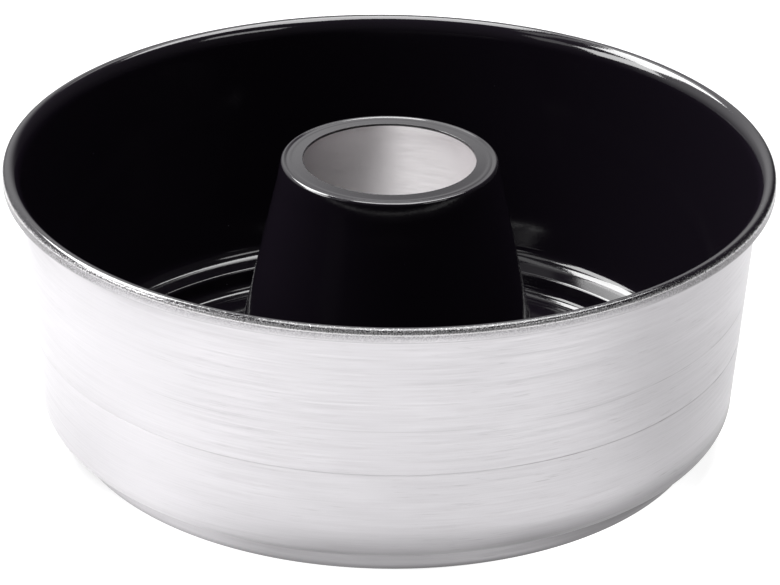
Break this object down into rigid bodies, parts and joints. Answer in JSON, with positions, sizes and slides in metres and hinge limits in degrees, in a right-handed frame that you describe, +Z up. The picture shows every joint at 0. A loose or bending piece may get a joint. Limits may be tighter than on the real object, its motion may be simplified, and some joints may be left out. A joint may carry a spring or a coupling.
{
  "type": "stovetop oven pan",
  "caption": "Round ring-shaped baking pan of bare aluminium with a black non-stick inside, a curled rim, a stepped foot and a hollow central chimney that lets hot air rise through it.",
  "frame": {"origin": "centre of the foot's underside, on the pan's axis", "axes": "+Z up along the chimney's axis; X and Y level, the pan is round so their turn is free"},
  "size_m": [0.25, 0.25, 0.094],
  "materials": {
    "bare_aluminium": "fine turned lines round the wall, satin",
    "nonstick_black": "smooth semi-gloss black with tiny bright specks"
  },
  "bodies": {
    "root": {"pan_shell": "bare_aluminium", "nonstick_coat": "nonstick_black"}
  },
  "joints": []
}
